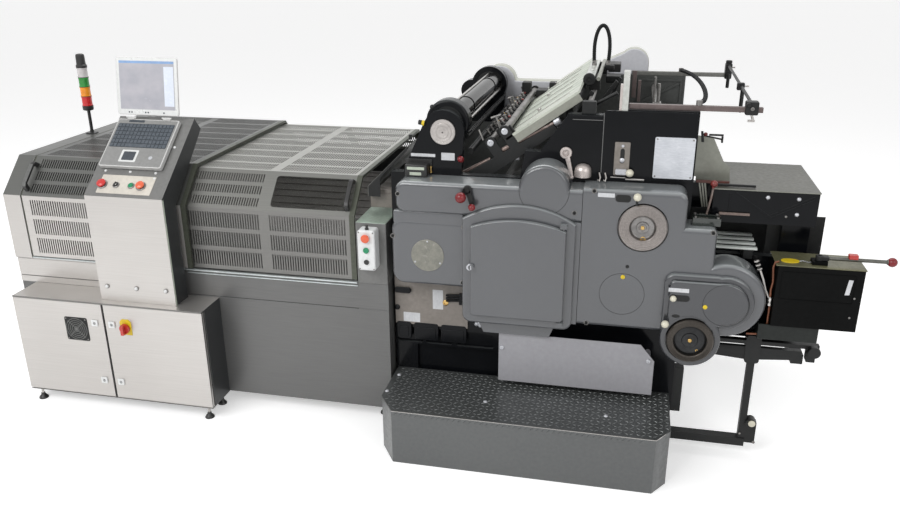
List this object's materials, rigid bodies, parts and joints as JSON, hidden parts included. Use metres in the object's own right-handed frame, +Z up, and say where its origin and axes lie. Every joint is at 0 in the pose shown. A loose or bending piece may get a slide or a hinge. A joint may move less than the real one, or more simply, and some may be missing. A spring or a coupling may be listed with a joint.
{
  "type": "cylinder letterpress",
  "caption": "Cylinder letterpress with cast gear covers, inclined feed board, feeder, long slotted sliding delivery guards, electrical cabinet, tilted console and step.",
  "frame": {"origin": "on the ground under the middle of the bed casting", "axes": "+X towards the feeder, -Y towards the operator, +Z up"},
  "size_m": [4.214, 1.786, 1.8929],
  "materials": {
    "brushed_stainless": "brushed sheet, vertical grain",
    "graphite_paint": "satin powder coat",
    "post_green": "satin enamel, slightly worn",
    "hammertone_gray": "hammered enamel on castings",
    "panel_gray": "satin enamel",
    "black_enamel": "gloss black enamel, oily",
    "bed_iron": "black painted casting",
    "machined_steel": "turned and polished",
    "galvanised": "zinc plated",
    "delivery_gray": "satin paint",
    "pale_green": "worn satin paint",
    "olive_paint": "satin paint",
    "slat_white": "smooth",
    "black_plastic": "fine grain",
    "red_plastic": "moulded gloss",
    "white_plastic": "moulded",
    "lamp_lens": "ribbed translucent lens",
    "laptop_silver": "silver paint on moulded case",
    "clear_pane": "clear polycarbonate",
    "hose_rubber": "ribbed hose"
  },
  "bodies": {
    "press": {"cabinet_body": "brushed_stainless", "mounting_plate": "galvanised", "levelling_feet": "galvanised", "extension_base": "graphite_paint", "guard_rails": "galvanised", "fixed_guard": "graphite_paint", "end_frame": "brushed_stainless", "delivery_post": "post_green", "button_box": "white_plastic", "delivery_rails": "delivery_gray", "delivery_conveyor": "delivery_gray", "console_body": "graphite_paint", "console_front": "brushed_stainless", "push_buttons": "red_plastic", "laptop_base": "laptop_silver", "stack_light_stem": "black_plastic", "stack_lamps": "lamp_lens", "press_base": "bed_iron", "side_frame_front": "black_enamel", "side_frame_rear": "black_enamel", "upper_cover": "hammertone_gray", "lower_cover": "hammertone_gray", "door_casting": "hammertone_gray", "gear_cover": "hammertone_gray", "raised_cover": "hammertone_gray", "kick_panel": "panel_gray", "step": "graphite_paint", "impression_cylinder": "machined_steel", "delivery_head": "black_enamel", "delivery_rollers": "machined_steel", "counter_box": "black_plastic", "feedboard": "pale_green", "lay_bars": "machined_steel", "feeder_head": "machined_steel", "feeder_rails": "machined_steel", "rail_clamps": "black_plastic", "rear_cover": "panel_gray", "feeder_housing": "black_enamel", "feeder_plates": "olive_paint", "feeder_slats": "slat_white", "pump_box": "black_enamel", "oil_pan": "olive_paint", "pile_frame": "black_enamel", "hoses": "hose_rubber"},
    "cabinet_door_left": {"cabinet_door_left": "brushed_stainless"},
    "cabinet_door_right": {"cabinet_door_right": "brushed_stainless"},
    "main_switch": {"main_switch_knob": "red_plastic"},
    "guard_left": {"guard_left": "graphite_paint", "guard_left_grille": "graphite_paint", "guard_left_handle": "black_plastic"},
    "guard_right": {"guard_right": "graphite_paint", "guard_right_grille": "graphite_paint", "guard_window": "clear_pane", "guard_right_handle": "black_plastic"},
    "laptop_lid": {"laptop_screen": "laptop_silver"},
    "access_door": {"access_door": "hammertone_gray"},
    "handwheel_upper": {"handwheel_upper": "machined_steel"},
    "handwheel_lower": {"handwheel_lower": "machined_steel"},
    "impression_lever": {"impression_lever": "red_plastic"},
    "stop_lever": {"stop_lever": "machined_steel"}
  },
  "joints": [
    {"name": "cabinet_door_left_hinge", "type": "hinge", "parent": "press", "child": "cabinet_door_left", "pos_m": [-2.704, -0.885, 0.336], "axis": [0, 0, -1], "range_deg": [0, 110]},
    {"name": "cabinet_door_right_hinge", "type": "hinge", "parent": "press", "child": "cabinet_door_right", "pos_m": [-1.671, -0.885, 0.336], "axis": [0, 0, 1], "range_deg": [0, 110]},
    {"name": "main_switch_turn", "type": "hinge", "parent": "cabinet_door_right", "child": "main_switch", "pos_m": [-2.08435, -0.9, 0.483], "axis": [0, 1, 0], "range_deg": [0, 90]},
    {"name": "guard_left_slide", "type": "slide", "parent": "press", "child": "guard_left", "axis": [-1, 0, 0], "range_m": [-0.4, 0]},
    {"name": "guard_right_slide", "type": "slide", "parent": "press", "child": "guard_right", "axis": [-1, 0, 0], "range_m": [0, 0.74]},
    {"name": "laptop_hinge", "type": "hinge", "parent": "press", "child": "laptop_lid", "pos_m": [-2, -0.51342, 1.46525], "axis": [1, 0, 0], "range_deg": [-12, 136]},
    {"name": "access_door_hinge", "type": "hinge", "parent": "press", "child": "access_door", "pos_m": [0.057, -0.809, 0.9], "axis": [0, 0, 1], "range_deg": [0, 100]},
    {"name": "handwheel_upper_turn", "type": "hinge", "parent": "press", "child": "handwheel_upper", "pos_m": [0.387, -0.77, 1.131], "axis": [0, 1, 0], "continuous": true},
    {"name": "handwheel_lower_turn", "type": "hinge", "parent": "press", "child": "handwheel_lower", "pos_m": [0.624, -0.81, 0.645], "axis": [0, 1, 0], "continuous": true},
    {"name": "impression_lever_turn", "type": "hinge", "parent": "press", "child": "impression_lever", "pos_m": [-0.369, -0.79, 1.262], "axis": [0, 1, 0], "range_deg": [-25, 25]},
    {"name": "stop_lever_turn", "type": "hinge", "parent": "press", "child": "stop_lever", "pos_m": [1.115, -0.72, 1.032], "axis": [0, 0, 1], "range_deg": [-30, 10]}
  ]
}
